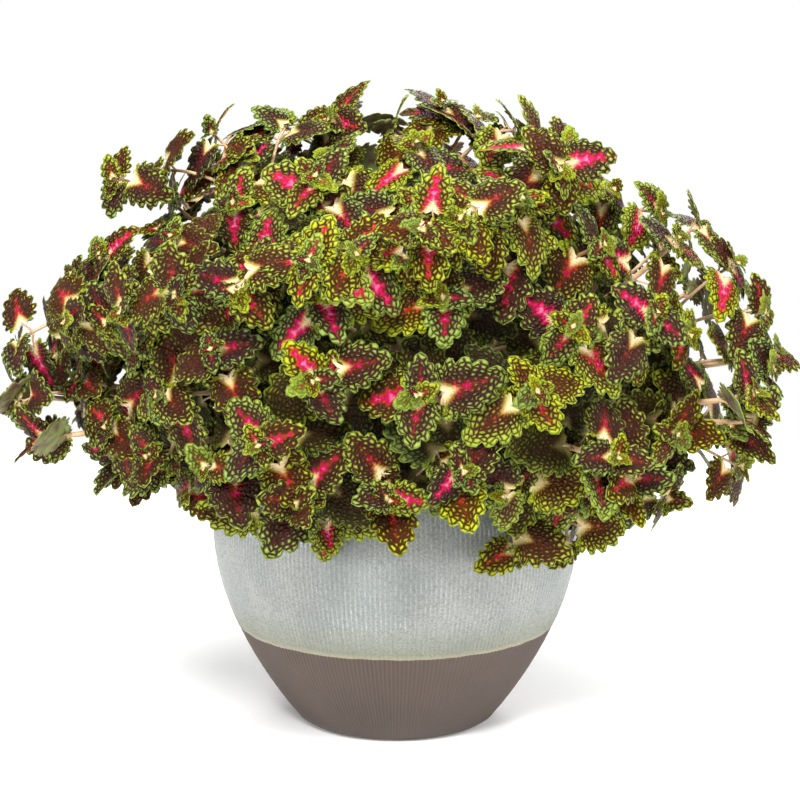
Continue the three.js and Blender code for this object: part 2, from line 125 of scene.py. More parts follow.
def mottled_material(name, roughness, scale, detail, stops, bump=None):
    """A plain material that is mottled along the stops of a ramp, with a bump's strength and height."""
    material, add, shader, place = new_material(name)
    mottle = add("TexNoise", place, Scale=scale, Detail=detail)
    fill_inputs(shader, {"Base Color": add("ValToRGB", mottle, stops=stops), "Roughness": roughness})
    if bump:
        strength, height = bump
        rough = add("Bump", Strength=strength, Distance=height, Height=mottle)
        fill_inputs(shader, {"Normal": rough})
    return material


def new_mesh(name, shape, *materials):
    mesh = bpy.data.meshes.new(name)
    shape.to_mesh(mesh)
    shape.free()
    for material in materials:
        mesh.materials.append(material)
    return mesh


def new_object(name, data):
    thing = bpy.data.objects.new(name, data)
    bpy.context.scene.collection.objects.link(thing)
    return thing


def new_piece(name, mesh, slot, *nodes):
    """Puts a finished mesh in the scene as a piece of the object."""
    piece = new_object(name, mesh)
    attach(piece, "root")
    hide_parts(*nodes)


def rib_crests(add, place):
    """A mask of the pot's upright ribs: 1 along each crest and 0 in each groove."""
    x, y, _ = add("SeparateXYZ", place).outputs
    turn = add("Math", y, x, operation="ARCTAN2")
    turns = add("Math", turn, float(RIBS), operation="MULTIPLY")
    wave = add("Math", turns, operation="COSINE")
    return add("MapRange", wave, 0.1, 0.95)


def glaze_material():
    """Stoneware glaze fired to a gloss over pale slip: white where it runs thin over a rib, grey between."""
    material, add, shader, place = new_material("stoneware_glaze")
    clouds = add("TexNoise", place, Scale=14.0, Detail=4.0)
    body = add("ValToRGB", clouds, stops=[(0.35, "#7c8180"), (0.65, "#929490")])
    # The pale line along each rib is broken, as the glaze gathers in drops.
    drops = add("Mapping", place, Scale=(430, 430, 150))
    broken = add("TexNoise", drops, Scale=1.0, Detail=3.0)
    held = add("MapRange", broken, 0.32, 0.66, 0.08, 0.8)
    # In some patches it flows level over the ribs.
    flows = add("TexNoise", place, Scale=26.0, Detail=2.0)
    combed = add("MapRange", flows, 0.38, 0.62, 0.35, 1.0)
    crests = add("Math", rib_crests(add, place), combed, operation="MULTIPLY")
    pale = add("Math", crests, held, operation="MULTIPLY")
    # Near its edge the glaze is thin and turns cream and green, with specks of iron from the clay.
    height = add("SeparateXYZ", place).outputs["Z"]
    wash = add("MapRange", height, GLAZE_EDGE + 3 * MM, GLAZE_EDGE + 34 * MM, 0.75, 0.0)
    specks = add("TexVoronoi", place, Scale=420.0)
    reach = add("MapRange", height, GLAZE_EDGE, GLAZE_EDGE + 80 * MM, 0.42, 0.16)
    is_speck = add("Math", specks, reach, operation="LESS_THAN")
    chosen = add("SeparateColor", specks.outputs["Color"])
    some = add("MapRange", chosen, 0.5, 1.0, 0.0, 0.5)
    speck = add("Math", is_speck, some, operation="MULTIPLY")
    # A grain of about 2 mm mottles the whole glaze.
    grain = add("TexNoise", place, Scale=560.0, Detail=2.0)
    mottle = add("MapRange", grain, 0.44, 0.66, 0.0, 0.6)
    thin = add("MapRange", height, GLAZE_EDGE, GLAZE_EDGE + 5 * MM, 0.6, 0.0)
    colour = body
    for mask, over in [(pale, "#b0b4ae"), (wash, "#76775f"), (speck, "#6f6f4f"), (mottle, "#5b625a"),
                       (thin, "#a89e7c")]:
        colour = add("Mix", mask, colour, over, data_type="RGBA")
    ripple = add("Bump", Strength=0.25, Distance=0.4 * MM, Height=broken)
    fill_inputs(shader, {"Base Color": colour, "Normal": ripple, "Roughness": 0.2, "IOR": 1.56})
    return material


def clay_material():
    """Bare fired stoneware: matt, brown and slightly gritty, and paler along the ribs."""
    material, add, shader, place = new_material("bare_stoneware")
    grit = add("TexNoise", place, Scale=900.0, Detail=3.0)
    clouds = add("TexNoise", place, Scale=9.0, Detail=5.0)
    both = add("Mix", 0.3, clouds, grit)
    body = add("ValToRGB", both, stops=[(0.3, "#3e322b"), (0.7, "#50423a")])
    worn = add("Math", rib_crests(add, place), 0.45, operation="MULTIPLY")
    combed = add("Mix", worn, body, "#5f5147", data_type="RGBA")
    rough = add("Bump", Strength=0.35, Distance=0.3 * MM, Height=grit)
    fill_inputs(shader, {"Base Color": combed, "Normal": rough, "Roughness": 0.62})
    return material


def pot_radius(height):
    """The outside radius of the pot's wall at a height."""
    if height < BELLY_HEIGHT:
        away, end = (BELLY_HEIGHT - height) / BELLY_HEIGHT, FOOT_RADIUS
    else:
        away, end = (height - BELLY_HEIGHT) / (POT_HEIGHT - BELLY_HEIGHT), RIM_RADIUS
    return BELLY_RADIUS - (BELLY_RADIUS - end) * away ** WALL_BEND


def spun(points, steps):
    """A closed body of revolution from (radius, height) points that run upwards on its outside."""
    shape = bmesh.new()
    chain = [shape.verts.new((radius, 0, height)) for radius, height in points]
    edges = [shape.edges.new(pair) for pair in zip(chain, chain[1:])]
    bmesh.ops.spin(shape, geom=chain + edges, cent=(0, 0, 0), axis=(0, 0, 1), angle=2 * math.pi,
                   steps=steps, use_merge=True)
    bmesh.ops.remove_doubles(shape, verts=shape.verts, dist=1e-6)
    bmesh.ops.recalc_face_normals(shape, faces=shape.faces)
    return shape


def make_pot():
    outside = [(0, 0), *FOOT_EDGE]
    for row in range(WALL_ROWS + 1):
        height = FOOT_ROUNDING + (POT_HEIGHT - WALL / 2 - FOOT_ROUNDING) * row / WALL_ROWS
        glazed = height > GLAZE_EDGE
        if glazed and outside[-1][1] < GLAZE_EDGE:
            outside.append((pot_radius(GLAZE_EDGE), GLAZE_EDGE))
            outside.append((pot_radius(GLAZE_EDGE) + GLAZE_THICKNESS, GLAZE_EDGE + GLAZE_THICKNESS))
        outside.append((pot_radius(height) + (GLAZE_THICKNESS if glazed else 0), height))
    turns = [math.pi * step / RIM_STEPS for step in range(1, RIM_STEPS + 1)]
    rim = [(RIM_RADIUS - WALL / 2 + WALL / 2 * math.cos(turn),
            POT_HEIGHT - WALL / 2 + WALL / 2 * math.sin(turn)) for turn in turns]
    inside = [(pot_radius(height) - WALL, height) for height in (BELLY_HEIGHT, KNEE_HEIGHT, POT_FLOOR)]
    shape = spun(outside + rim + inside + [(0, POT_FLOOR)], RIBS * RIB_STEPS)
    for vert in shape.verts:
        on_outside = math.hypot(vert.co.x, vert.co.y) > pot_radius(vert.co.z) - SKIN
        room = min(vert.co.z - FOOT_ROUNDING, POT_HEIGHT - PLAIN_RIM - vert.co.z) / RIB_FADE
        fade = max(0.0, min(1.0, room)) if on_outside else 0.0
        turn = math.atan2(vert.co.y, vert.co.x)
        if abs(vert.co.z - GLAZE_EDGE) < 2 * GLAZE_THICKNESS:
            round_pot = (WANDER_WAVES * math.cos(turn), WANDER_WAVES * math.sin(turn), 0)
            vert.co.z += EDGE_WANDER * noise.noise(round_pot)
        depth = RIB_DEPTH * fade * math.cos(RIBS * turn)
        vert.co.x += depth * math.cos(turn)
        vert.co.y += depth * math.sin(turn)
    for face in shape.faces:
        face.smooth = True
        face.material_index = 0 if face.calc_center_median().z > GLAZE_EDGE else 1
    mesh = new_mesh("pot", shape, glaze_material(), clay_material())
    new_piece("glazed_pot", mesh, "glazed_stoneware", "pot")


make_pot()

# ------ potting mix
# Potting mix of dark peat and fine bark fills the pot, lightly heaped and loose on top, where the stems
# come out of it.
MIX_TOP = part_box("potting_mix")[1].z
MIX_EDGE = 238 * MM
MIX_GAP = 0.4 * MM
MIX_SLOPE = 4.5
MIX_RINGS = (0.96, 0.9, 0.83, 0.75, 0.66, 0.57, 0.48, 0.39, 0.3, 0.2, 0.1)
MIX_STEPS = 96
LUMPS = [(2.5 * MM, 90), (1.2 * MM, 300)]  # their height, and how many fit along a metre
CRUMBS = 620
CRUMB_CIRCLE = 128 * MM
CRUMB_SIZES = (1.2, 3.6)


def make_mix():
    floor = POT_FLOOR + MIX_GAP
    heights = (floor, KNEE_HEIGHT, BELLY_HEIGHT, MIX_EDGE)
    walls = [(pot_radius(height) - WALL - MIX_GAP, height) for height in heights]
    edge = walls[-1][0]
    top = [(edge * share, MIX_EDGE + (MIX_TOP - MIX_EDGE) * min(1, MIX_SLOPE * (1 - share)))
           for share in MIX_RINGS]
    shape = spun([(0, floor)] + walls + top + [(0, MIX_TOP)], MIX_STEPS)
    for vert in shape.verts:
        if vert.co.z > MIX_EDGE - MM and vert.co.xy.length < edge * 0.98:
            vert.co.z += sum(height * noise.noise(vert.co * count) for height, count in LUMPS)
    draw = random.Random(7)
    for _ in range(CRUMBS):
        turn = draw.uniform(0, 2 * math.pi)
        radius = CRUMB_CIRCLE * math.sqrt(draw.random())
        size = draw.uniform(*CRUMB_SIZES) * MM
        place = Matrix.Translation((radius * math.cos(turn), radius * math.sin(turn), MIX_TOP + 0.3 * size))
        spin = Matrix.Rotation(draw.uniform(0, 6), 4, (draw.random(), draw.random(), 1))
        flat = Matrix.Diagonal((1, draw.uniform(0.5, 0.9), draw.uniform(0.35, 0.7), 1))
        bmesh.ops.create_icosphere(shape, subdivisions=1, radius=size, matrix=place @ spin @ flat)
    # Damp peat is nearly black and matt, with lighter shreds of bark.
    peat = mottled_material("peat_and_bark", 0.95, 260.0, 5.0, [(0.42, "#1d1510"), (0.72, "#5a4433")],
                            bump=(0.8, 1.5 * MM))
    new_piece("peat_mix", new_mesh("potting_mix", shape, peat), "potting_mix", "potting_mix")


make_mix()

# ------ leaf blades
# A coleus leaf is broad and softly quilted, with round teeth. It is dark purple between bright green
# cells, and has a pale green rim. Its heart is pink and starts cream, with yellow-green lobes beside it.
# The outline of a blade's right half, from the petiole to the tip, for a blade a unit long.
OUTLINE = [Vector((0, 0)), Vector((0.62, -0.36)), Vector((0.59, 0.65)), Vector((0, 1))]
HALF_WIDTH = 0.46
BLADE_FOLD = 0.3
BLADE_CURL = 0.2
BLADE_DROOP = 0.13
BLADE_THICKNESS = 0.6 / 55
QUILT_HEIGHT = 0.007
WAVE_HEIGHT = 0.02
WAVES = 9
CREASE_WIDTH = 0.03
TOOTH_DEPTH = 0.11
TOOTH_ROUNDING = 0.6
TOOTH_MIDDLE = 0.6
TOOTH_FADE = 8  # the teeth grow to their depth over an eighth of the margin at each end
COLUMN_CROWDING = 0.75
TOOTH_LEAN = Vector((0, 0.35))
TEETH = 7
CELLS_PER_TOOTH = 2.0
CELL_RINGS = 12.5
BLADE_SHAPES = 7


def bezier(handles, t):
    while len(handles) > 1:
        handles = [a.lerp(b, t) for a, b in zip(handles, handles[1:])]
    return handles[0]


def blade_mesh(name, columns, rows, teeth, draw):
    """One blade, a unit long, from its petiole at the origin along +Y, with its upper face up.

    Its rows run from the midrib out to the margin, as the side veins do. blade_place holds the place
    across, the place along and the vein's share of the margin, and blade_margin the way to the margin.
    blade_look and blade_size are filled in for each leaf: how pink it is (a pinkness below zero stands for
    painted shade), how green and warm, and how large.
    """
    shape = bmesh.new()
    bmesh.ops.create_grid(shape, x_segments=columns, y_segments=rows, size=1)
    place = shape.verts.layers.float_vector.new("blade_place")
    margin = shape.verts.layers.float.new("blade_margin")
    shape.verts.layers.float_vector.new("blade_look")
    shape.verts.layers.float.new("blade_size")
    for vert in shape.verts:
        u, v = vert.co.x, (vert.co.y + 1) / 2
        edge = bezier(OUTLINE, v)
        ahead = bezier(OUTLINE, min(1, v + 0.01)) - bezier(OUTLINE, max(0, v - 0.01))
        outward = (Vector((ahead.y, -ahead.x)).normalized() + TOOTH_LEAN).normalized()
        u = math.copysign(abs(u) ** COLUMN_CROWDING, u)
        bump = abs(math.sin(math.pi * teeth * v)) ** TOOTH_ROUNDING - TOOTH_MIDDLE
        tooth = TOOTH_DEPTH * bump * min(1, TOOTH_FADE * v, TOOTH_FADE * (1 - v)) * abs(u) ** 4
        rib = Vector((0, v ** 3))
        spot = rib.lerp(edge, abs(u)) + outward * tooth
        vert[margin] = (1 - abs(u)) * (edge - rib).length
        vert[place] = (math.copysign(spot.x, u), spot.y, v)
        vert.co = (math.copysign(spot.x, u) if u else 0, spot.y, 0)
    bmesh.ops.remove_doubles(shape, verts=shape.verts, dist=1e-4)
    bmesh.ops.solidify(shape, geom=shape.faces[:], thickness=BLADE_THICKNESS)
    bmesh.ops.recalc_face_normals(shape, faces=shape.faces)
    fold = BLADE_FOLD * draw.uniform(0.7, 1.1)
    curl = BLADE_CURL * draw.uniform(0.5, 1.7)
    droop = BLADE_DROOP * draw.uniform(0.6, 1.3)
    twist = draw.uniform(-0.2, 0.2)
    sway = draw.uniform(-0.07, 0.07)
    phase = draw.uniform(0, 2 * math.pi)
    for face in shape.faces:
        face.smooth = True
        face.material_index = 1 if face.normal.z < -0.5 else 0
    for vert in shape.verts:
        x, y, z = vert.co
        side = abs(x) / HALF_WIDTH
        quilt = QUILT_HEIGHT * math.sin(math.pi * teeth * vert[place].z) ** 2 * min(1, 3 * side)
        wave = WAVE_HEIGHT * side ** 2 * math.sin(WAVES * y + phase + (1.5 if x > 0 else 0))
        crease = math.hypot(x, CREASE_WIDTH) - CREASE_WIDTH
        lift = fold * crease - droop * side ** 2.5 - curl * y * y + wave + quilt
        vert.co = (x + sway * y * y, y, z + lift + twist * x * y)
    return new_mesh(name, shape)


shape_draw = random.Random(41)
LARGE_BLADES, MIDDLE_BLADES, SMALL_BLADES = (
    [blade_mesh(name, columns, rows, teeth, shape_draw) for _ in range(BLADE_SHAPES)]
    for name, columns, rows, teeth in [
        ("large_blade", 6, 4 * TEETH, TEETH),
        ("middle_blade", 4, 3 * TEETH, TEETH),
        ("small_blade", 2, 15, 5),
    ])


def leaf_material():
    """The upper face of a coleus leaf: quilted, with a low waxy shine."""
    material, add, shader, place = new_material("coleus_leaf")
    spot, look, margin, size = (
        add("Attribute", attribute_name=name).outputs[output] for name, output in [
            ("blade_place", "Vector"), ("blade_look", "Vector"),
            ("blade_margin", "Fac"), ("blade_size", "Fac")])
    sideways, along, vein = add("SeparateXYZ", spot).outputs
    across = add("Math", sideways, operation="ABSOLUTE")
    # A pinkness below zero stands for a leaf painted in shade.
    pink_and_shade, greenness, warmth = add("SeparateXYZ", look).outputs
    cloudy = add("TexNoise", place, Scale=55.0, Detail=2.0)

    def by_warmth(mask, cool, warm):
        cool_mix, warm_mix = (add("Mix", mask, *pair, data_type="RGBA") for pair in (cool, warm))
        return add("Mix", warmth, cool_mix, warm_mix, data_type="RGBA")

    # The net of small veins leaves round cells of about 4 mm, in rows along the side veins.
    cell_row = add("Math", vein, TEETH * CELLS_PER_TOOTH, operation="MULTIPLY")
    cell_ring = add("Math", margin, CELL_RINGS, operation="MULTIPLY")
    flat = add("CombineXYZ", cell_row, cell_ring)
    sized = add("VectorMath", flat, size, operation="SCALE")
    # Each leaf, and each half of it, has other cells.
    half = add("Math", sideways, operation="SIGN")
    half_seed = add("Math", half, 13.7, warmth, operation="MULTIPLY_ADD")
    seed = add("Math", pink_and_shade, 91.0, half_seed, operation="MULTIPLY_ADD")
    cell_place = add("VectorMath", sized, seed, operation="ADD")
    cell = add("TexVoronoi", cell_place, voronoi_dimensions="2D", feature="DISTANCE_TO_EDGE",
               Scale=1.0, Randomness=0.75)

    # Green fills the cells near the margin, and shrinks to dots and grows dim towards the midrib.
    least = add("MapRange", margin, 0.014, 0.32, 0.01, 0.27)
    needed = add("Math", greenness, -0.1, least, operation="MULTIPLY_ADD")
    over = add("Math", cell, needed, operation="SUBTRACT")
    filled = add("MapRange", over, -0.04, 0.07)
    clearness = add("MapRange", margin, 0.05, 0.3, 1.0, 0.5)
    green = add("Math", filled, clearness, operation="MULTIPLY")
    # Each cell is painted lighter towards its middle: partly its own green, partly a painted highlight on its
    # dome.
    painted_dome_highlight = add("MapRange", over, 0.0, 0.24)
    cell_colour = by_warmth(painted_dome_highlight, ("#38440a", "#7e9448"), ("#505800", "#a6ab18"))

    # The net is purple brown on cool leaves and red brown on warm ones, and redder near the midrib.
    plain_net = by_warmth(cloudy, ("#1c0a0a", "#3a1e1c"), ("#2a1002", "#4a2404"))
    spread = add("Math", across, 4.0, along, operation="MULTIPLY_ADD")
    redness = add("MapRange", spread, 0.25, 0.95, 1.0, 0.0)
    rusty = add("MapRange", pink_and_shade, 0.1, 0.8, 0.1, 0.85)
    redder = add("Math", redness, rusty, operation="MULTIPLY")
    net = add("Mix", redder, plain_net, "#841f10", data_type="RGBA")

    # The lobes beside the petiole are yellow-green, with the net only faint in them.
    lobes = add("MapRange", vein, 0.12, 0.34, 0.75, 0.0)
    # Young leaves are nearly all yellow-green.
    youth = add("MapRange", greenness, 0.6, 1.6, 0.0, 0.3)
    # Painted shade: the older leaves deep in the mound, in the shade of the others, are painted a dark green.
    painted_inner_shade = add("Math", pink_and_shade, -1.2, operation="MULTIPLY", use_clamp=True)

    # The pink heart runs out along the midrib and further along each side vein.
    turns = add("Math", vein, 2 * math.pi * TEETH, operation="MULTIPLY")
    rib = add("Math", turns, operation="COSINE")
    ray = add("MapRange", rib, 0.0, 1.0, 0.0, -0.3)
    ragged = add("Math", spread, ray, operation="ADD")
    blotch = add("Math", cloudy, 0.2, ragged, operation="MULTIPLY_ADD")
    heart = add("Math", pink_and_shade, blotch, operation="SUBTRACT")
    pink = add("MapRange", heart, -0.2, 0.08)
    core = add("ValToRGB", heart, stops=[(0.1, "#a00c38"), (0.3, "#ae0f4a"), (0.6, "#d66484")])
    fringe = add("Mix", warmth, "#6c1026", "#b43c0c", data_type="RGBA")
    inner = add("MapRange", heart, 0.0, 0.16)
    pink_colour = add("Mix", inner, fringe, core, data_type="RGBA")
    # It starts cream at the petiole, with a yellow edge.
    near = add("Math", across, 1.3, along, operation="MULTIPLY_ADD")
    yellow = add("MapRange", near, 0.12, 0.31, 0.85, 0.0)
    # Leaves painted in shade keep little of their cream and yellow.
    paleness = add("MapRange", pink_and_shade, -0.5, 0.4, 0.15, 1.0)
    yellowness = add("Math", yellow, paleness, operation="MULTIPLY")
    cream = add("MapRange", near, 0.06, 0.26, 1.0, 0.0)
    pale = add("Math", cream, paleness, operation="MULTIPLY")

    # A band of green 1 mm wide runs round the teeth, fainter on dark leaves, with a paler edge.
    near_edge = add("MapRange", margin, 0.012, 0.034, 1.0, 0.0)
    clear = add("MapRange", greenness, -1.2, 0.5, 0.35, 0.8)
    band = add("Math", near_edge, clear, operation="MULTIPLY")
    band_colour = add("Mix", warmth, "#546a18", "#788c16", data_type="RGBA")
    edge = add("MapRange", margin, 0.002, 0.012, 0.5, 0.0)
    # All these lie over the net, the last on top.
    colour = net
    for mask, over in [(green, cell_colour), (lobes, "#a0ad14"), (youth, "#7e920c"), (painted_inner_shade, "#1c1e04"),
                       (pink, pink_colour), (yellowness, "#bcae2a"), (pale, "#dcc8a4"),
                       (band, band_colour), (edge, "#96a458")]:
        colour = add("Mix", mask, colour, over, data_type="RGBA")

    # Each cell stands up a little, and the midrib and the side veins lie in grooves.
    dome = add("MapRange", cell, 0.0, 0.4)
    groove = add("MapRange", rib, 0.5, 1.0, 0.0, -0.8)
    ridged = add("Math", dome, groove, operation="ADD")
    away = add("MapRange", near, 0.1, 0.3)
    relief = add("Math", ridged, away, operation="MULTIPLY")
    quilted = add("Bump", Strength=0.9, Distance=1.5 * MM, Height=relief)
    fill_inputs(shader, {"Base Color": colour, "Normal": quilted, "Roughness": 0.44, "IOR": 1.4,
                         "Specular IOR Level": 0.14})
    return material


PLANT_MATERIALS = [
    leaf_material(),
    # The underside of a leaf is a paler, downy green, flushed with purple.
    mottled_material("leaf_underside", 0.7, 90.0, 3.0, [(0.35, "#6b4a45"), (0.65, "#8d9a5a")]),
    # A stem has soft green skin, tanned pink where the light reaches it, with fine down.
    mottled_material("coleus_stem", 0.6, 45.0, 4.0, [(0.35, "#9a7450"), (0.68, "#d6b488")],
                     bump=(0.2, 0.3 * MM)),
]
STEM_SLOT = 2

# ------ stems
# The stems are square, as in all of the mint family. They stand in the mix, fan out into a mound, and
# fork once. Their lines follow the same rule, in millimetres, as the solids that these pieces replace.
EVEN_STEMS = 40
CROWDING = 1.18
MOUND_CENTRE = 325
MOUND_RADIUS = 312
MOUND_RISE = 252
MOUND_FALL = 130
LEAST_RISE = 0.0004
LOWEST_TIP = math.radians(126)
REACH_VARIES = 0.08
TURN_VARIES = 0.2
GOLDEN_TURN = math.radians(137.508)
LONG_SPRAYS = [  # turn round the pot and fall from upright in degrees, and reach in shares of the mound
    (180, 92, 1.17), (170, 76, 1.06), (190, 106, 1.12), (200, 60, 1.04), (2, 84, 1.17),
    (346, 98, 1.1), (14, 70, 1.08), (315, 112, 1.0), (252, 118, 0.98), (60, 88, 1.08),
]
ROOT_RADIUS = 112
ROOT_RINGS = 4
ROOT_LEAN = 0.32
ROOT_RISE = 4
ROOT_PULL = 0.4
LEAST_ROOT_PULL = 96
TIP_PULL = 0.36
TIP_RISE = 0.22
TIP_SAG = 1.3
STEM_DEPTH = 42
STEM_BASE = 3.6
STEM_TOP = 2.4
STEM_TIP = 1.8
SIDE_TAPER = 0.8
MAIN_STEPS = 24
SIDE_STEPS = 8
NODE_FROM_TIP = 29
BOWS = [0, 12, -12, 24, -24, 36, -36, 48, -48, 60, -60]
SECOND_RING = 0.32
THIRD_RING = 0.66
RING_MISS = 0.05
FORK_AT = 0.55
SIDE_REACH = (70, 125)
SIDE_TRIES = 40
SIDE_TURNS = 5
SIDE_DEPTH = 0.92
SIDE_PULL = 14
LINE_STEPS = 200
UP = Vector((0, 0, 1))


def stream_of_shares():
    """The numbers from 0 to 1 that spread the stems."""
    state, factor, prime = 20261, 48271, 2 ** 31 - 1
    while True:
        state = state * factor % prime
        yield state / prime


stem_shares = stream_of_shares()


def varied(amount):
    return amount * (2 * next(stem_shares) - 1)


def mound_point(turn, fall, reach):
    """A point of the mound, the way out to it, and the way its leaves face."""
    out = Vector((math.cos(turn), math.sin(turn), 0))
    rise = MOUND_RISE if math.cos(fall) > 0 else MOUND_FALL
    at = out * (MOUND_RADIUS * math.sin(fall) * reach)
    at.z = MOUND_CENTRE + rise * math.cos(fall) * reach
    facing = out * (math.sin(fall) / MOUND_RADIUS)
    facing.z = max(math.cos(fall) / rise, LEAST_RISE)
    return at, out, facing.normalized()


def direction(point):
    return math.atan2(point.y, point.x) % (2 * math.pi)


def plan_stems():
    """Where each stem stands and where its tip is."""
    plans = []
    for i in range(EVEN_STEMS):
        share = ((i + 0.5) / EVEN_STEMS) ** CROWDING
        fall = math.acos(1 - (1 - math.cos(LOWEST_TIP)) * share)
        turn = i * GOLDEN_TURN + varied(TURN_VARIES)
        plans.append(SimpleNamespace(turn=turn, fall=fall, reach=1 + varied(REACH_VARIES)))
    for turn, fall, reach in LONG_SPRAYS:
        plans.append(SimpleNamespace(turn=math.radians(turn), fall=math.radians(fall), reach=reach))
    plans.sort(key=lambda plan: plan.fall)
    for i, plan in enumerate(plans):
        plan.at, plan.out, plan.facing = mound_point(plan.turn, plan.fall, plan.reach)
        radius = ROOT_RADIUS * math.sqrt((i + 0.5) / len(plans))
        plan.spot = Vector((radius * math.cos(i * GOLDEN_TURN), radius * math.sin(i * GOLDEN_TURN), 0))
    per_ring = math.ceil(len(plans) / ROOT_RINGS)
    for ring in range(ROOT_RINGS):
        group = plans[ring * per_ring:(ring + 1) * per_ring]
        spots = sorted((plan.spot for plan in group), key=direction)
        group.sort(key=lambda plan: direction(plan.out))
        for plan, spot in zip(group, spots):
            plan.root = Vector((spot.x, spot.y, MIX_TOP / MM))
    return plans


class Line:
    """A curve that is read by the share of its length."""

    def __init__(self, *handles):
        self.points = [bezier(handles, i / LINE_STEPS) for i in range(LINE_STEPS + 1)]
        self.lengths = [0.0]
        for a, b in zip(self.points, self.points[1:]):
            self.lengths.append(self.lengths[-1] + (b - a).length)
        self.length = self.lengths[-1]

    def at(self, share):
        """The point and the heading at a share of the length."""
        goal = max(0.0, min(1.0, share)) * self.length
        low, high = 0, LINE_STEPS
        while high - low > 1:
            middle = (low + high) // 2
            low, high = (middle, high) if self.lengths[middle] <= goal else (low, middle)
        start, end = self.points[low], self.points[high]
        part = (goal - self.lengths[low]) / (self.lengths[high] - self.lengths[low])
        return start.lerp(end, part), (end - start).normalized()

    def from_tip(self, distance):
        """The point and the heading at a distance from the tip, or straight on past it."""
        at, heading = self.at(1 - distance / self.length)
        return (at - heading * min(0.0, distance), heading)


def main_line(plan, bow):
    """A stem's line from the mix to its tip, bowed aside, and the way it leans out of the mix."""
    radius = plan.root.xy.length
    lean = (plan.out * (ROOT_LEAN * radius / ROOT_RADIUS) + UP).normalized()
    start = plan.root + lean * ROOT_RISE
    span = (start - plan.at).length
    sag = max(0.0, -math.cos(plan.fall))
    heading = (plan.facing + UP * (TIP_RISE - TIP_SAG * sag)).normalized()
    aside = plan.out.cross(UP) * bow
    root_pull = start + lean * max(ROOT_PULL * span, LEAST_ROOT_PULL) + aside
    tip_pull = plan.at - heading * (TIP_PULL * span) + aside
    return Line(start, root_pull, tip_pull, plan.at), lean


def point_tree(points):
    tree = kdtree.KDTree(len(points))
    for i, at in enumerate(points):
        tree.insert(at, i)
    tree.balance()
    return tree


def corners_near(tree, centre, distance):
    """How many corners of the solid lie at that distance from a point."""
    found = tree.find_range(centre, distance + 2 * RING_MISS)
    return sum(abs(d - distance) < RING_MISS for _, _, d in found)


def side_line(plan, main):
    """Every place that the side shoot may have: its line and the way its leaves face."""
    low, _ = main.at(SECOND_RING)
    high, _ = main.at(THIRD_RING)
    above, _ = main.at(1 - (NODE_FROM_TIP + 3) / main.length)
    heading = (above - low).normalized()
    fork = low.lerp(high, FORK_AT)
    for i in range(SIDE_TRIES):
        around = i / SIDE_TRIES * 2 * math.pi * SIDE_TURNS
        reach = (SIDE_REACH[0] + (SIDE_REACH[1] - SIDE_REACH[0]) * i / SIDE_TRIES) / MOUND_RADIUS
        fall = plan.fall + reach * math.cos(around)
        turn = plan.turn + reach * math.sin(around) / max(math.sin(plan.fall), 0.3)
        at, _, facing = mound_point(turn, fall, SIDE_DEPTH)
        yield Line(fork, fork.lerp(at, 0.5) + heading * SIDE_PULL, at), facing


def tapered(line, steps, thick, thin):
    """The points and the radii of a tube along a line."""
    shares = [step / steps for step in range(steps + 1)]
    return [line.at(share)[0] for share in shares], [thick + (thin - thick) * share for share in shares]


def main_shoot(plan, line, lean):
    points, radii = tapered(line, MAIN_STEPS, STEM_BASE, STEM_TOP)
    tube = [plan.root - lean * STEM_DEPTH, *points], [STEM_BASE, *radii[:-1], STEM_TIP]
    return SimpleNamespace(line=line, facing=plan.facing, tube=tube)


def side_shoot(line, facing, thick):
    tube = tapered(line, SIDE_STEPS, thick, SIDE_TAPER * thick)
    return SimpleNamespace(line=line, facing=facing, tube=tube)


# ------ leafy stems
# Each stem carries its leaves in pairs, each pair turned a quarter from the one below. The large leaves
# lie where the solids have theirs. Between them are the bud's small leaves, the older leaves further down
# and the short shoots that start beside each leaf.
# How many corners stand round the fan of triangles on a solid's leaf: on its upper face, and on its lower.
LEAF_FANS = {13: 14, 11: 12}
LEAF_DEPTH = 2.1 * MM
RIB_MIDDLE = 0.42  # where on the midrib the fans' middle is, as a share of the leaf's length
LOBE_ACROSS = 0.3
REAL_SIZE = 0.76  # the solids' leaves are larger than life, so that fewer of them cover the mound
TILT_VARIES = 0.35
LIGHT_TURN = 0.45
MOST_LIGHT_TURN = 0.65
LIGHT_OUT, LIGHT_UP, LIGHT_FRONT = 0.7, 0.4, 1.2  # how far the light comes from outside, above and in front
MIX_CLEAR = 8
POT_CLEAR = 3
RIM_CLEAR = 28
RIM_BAND = 25  # how far inside the rim's radius a leaf is still kept clear of the pot
SAG_MARGIN = 1.3
# No leaf hangs below a skirt, which is level at the pot and rises outside it: its lowest height and its rise.
SKIRT = (195, 0.85)
SPRAY_SKIRT = (162, 0.0)
SKIRT_FROM = 200
LIFT = math.radians(7)
LIFTS = 7
LEAF_SPOTS = [(0, 0.3), (0, 0.65), (0, 1), (-0.42, 0.3), (0.42, 0.3), (-0.35, 0.65), (0.35, 0.65)]
PETIOLE_LIFT = 25
BY_STEM, BY_MOUND, BY_SKY = 0.4, 0.8, 0.35  # how far a leaf's face follows its stem, the mound and the sky
BUD_PAIRS = [  # distance below the tip, turn, length, petiole, lift in degrees, droop
    (-3, 0, 21, 3, 30, 0.0),
    (-6, math.pi / 2, 13, 1.5, 50, 0.0),
]
OLDER_PAIRS = [
    (52, math.pi / 2, 48, 20, 2, 0.25),
    (74, 0, 46, 20, 0, 0.3),
    (98, math.pi / 2, 42, 18, 0, 0.35),
]
SHORT_SHOOT_PAIRS = [
    (2, 0, 36, 5, 16, 0.1),
    (16, math.pi / 2, 46, 14, 2, 0.2),
]
BARE_END = 10
BUD_LEAF = 30  # leaves shorter than this may grow inside the mound, and longer ones only outside this depth
INSIDE = 0.66
PAIR_SIZES = (0.82, 1.18)
